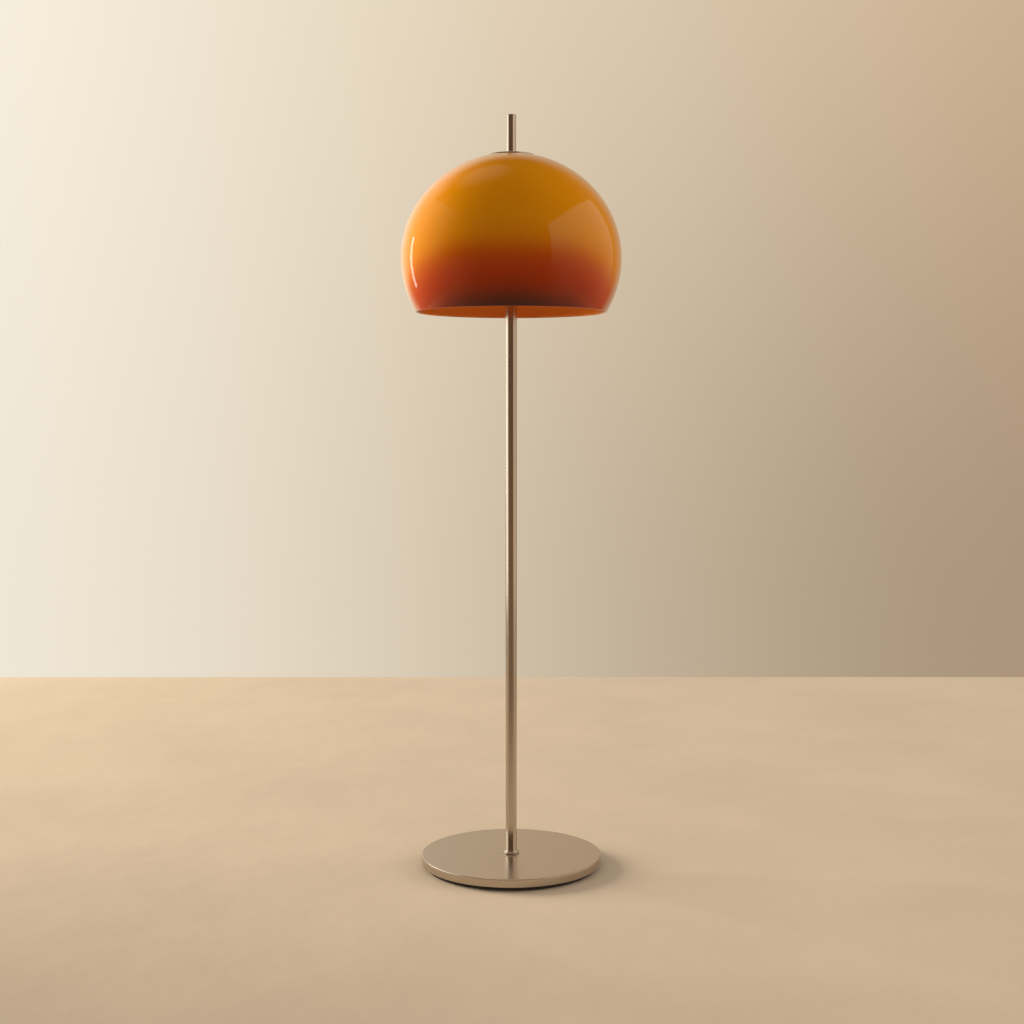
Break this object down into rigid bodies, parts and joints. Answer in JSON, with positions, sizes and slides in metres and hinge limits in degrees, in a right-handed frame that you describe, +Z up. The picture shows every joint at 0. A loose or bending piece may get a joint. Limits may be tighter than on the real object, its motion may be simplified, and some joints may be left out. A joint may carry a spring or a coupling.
{
  "type": "mushroom floor lamp",
  "caption": "Floor lamp with a round weighted base, slim metal stem and mushroom-shaped glass dome shade that turns and slides up a guide rod.",
  "frame": {"origin": "middle of the foot ring's underside, on the floor, on the lamp's axis", "axes": "+Z up along the stem, -Y towards the front, where the lock screw is; the cord entry is at +Y"},
  "size_m": [0.4364, 0.4362, 1.5],
  "materials": {
    "amber_glass": "glossy cased glass, amber above, red-orange and dark brown towards the rim",
    "satin_nickel": "satin brushed warm nickel plate",
    "cast_iron_black": "black lacquered casting",
    "black_steel": "matt black powder coat",
    "zinc_steel": "bright zinc plate",
    "black_rubber": "matt moulded rubber",
    "clear_silicone": "soft dark silicone",
    "brass": "turned brass",
    "black_thermoset": "moulded black thermoset",
    "white_ceramic": "unglazed white ceramic",
    "white_nylon": "natural nylon",
    "terminal_nylon": "natural moulded nylon",
    "opal_glass": "opal white glass",
    "lamp_cap_nickel": "nickel-plated brass sheet",
    "wire_sleeve": "heat-resistant sleeving"
  },
  "bodies": {
    "stand": {"foot_ring": "black_rubber", "base_bottom_plate": "black_steel", "plate_screws": "zinc_steel", "ballast_weight": "cast_iron_black", "base_cover": "satin_nickel", "cable_grommet": "black_rubber", "cord_clamp": "zinc_steel", "cord_clamp_screws": "zinc_steel", "terminal_block": "terminal_nylon", "stem_nipple": "brass", "stem_washer": "zinc_steel", "stem_nut": "zinc_steel", "stem_foot_bushing": "brass", "foot_collar": "satin_nickel", "stem_tube": "satin_nickel", "stem_top_bushing": "satin_nickel", "guide_rod": "satin_nickel", "rod_end_plug": "satin_nickel", "hub_body": "satin_nickel", "hub_grub_screw": "zinc_steel", "hub_cover": "satin_nickel", "hub_cover_screws": "zinc_steel", "hub_terminal": "white_ceramic", "arm_locknuts": "zinc_steel", "supply_wire": "wire_sleeve", "arm_nipple_1": "brass", "lampholder_shell_1": "black_thermoset", "lampholder_insert_1": "white_ceramic", "bulb_cap_1": "lamp_cap_nickel", "bulb_globe_1": "opal_glass", "holder_wire_1": "wire_sleeve", "arm_nipple_2": "brass", "lampholder_shell_2": "black_thermoset", "lampholder_insert_2": "white_ceramic", "bulb_cap_2": "lamp_cap_nickel", "bulb_globe_2": "opal_glass", "holder_wire_2": "wire_sleeve", "arm_nipple_3": "brass", "lampholder_shell_3": "black_thermoset", "lampholder_insert_3": "white_ceramic", "bulb_cap_3": "lamp_cap_nickel", "bulb_globe_3": "opal_glass", "holder_wire_3": "wire_sleeve"},
    "height_collar": {"height_collar": "satin_nickel", "collar_bush": "white_nylon", "pressure_pad": "white_nylon", "thrust_washer": "white_nylon"},
    "shade": {"shade": "amber_glass", "shade_sleeve": "brass", "cap_disc": "satin_nickel", "upper_gasket": "clear_silicone", "lower_gasket": "clear_silicone", "clamp_washer": "zinc_steel", "ring_nut": "brass"},
    "lock_screw": {"lock_screw": "satin_nickel"}
  },
  "joints": [
    {"name": "shade_height", "type": "slide", "parent": "stand", "child": "height_collar", "axis": [0, 0, 1], "range_m": [0, 0.06]},
    {"name": "shade_turn", "type": "hinge", "parent": "height_collar", "child": "shade", "pos_m": [0, 0, 1.3722], "axis": [0, 0, 1], "continuous": true},
    {"name": "lock_screw_turn", "type": "hinge", "parent": "height_collar", "child": "lock_screw", "pos_m": [0, -0.024, 1.358], "axis": [0, -1, 0], "range_deg": [0, 360]}
  ]
}
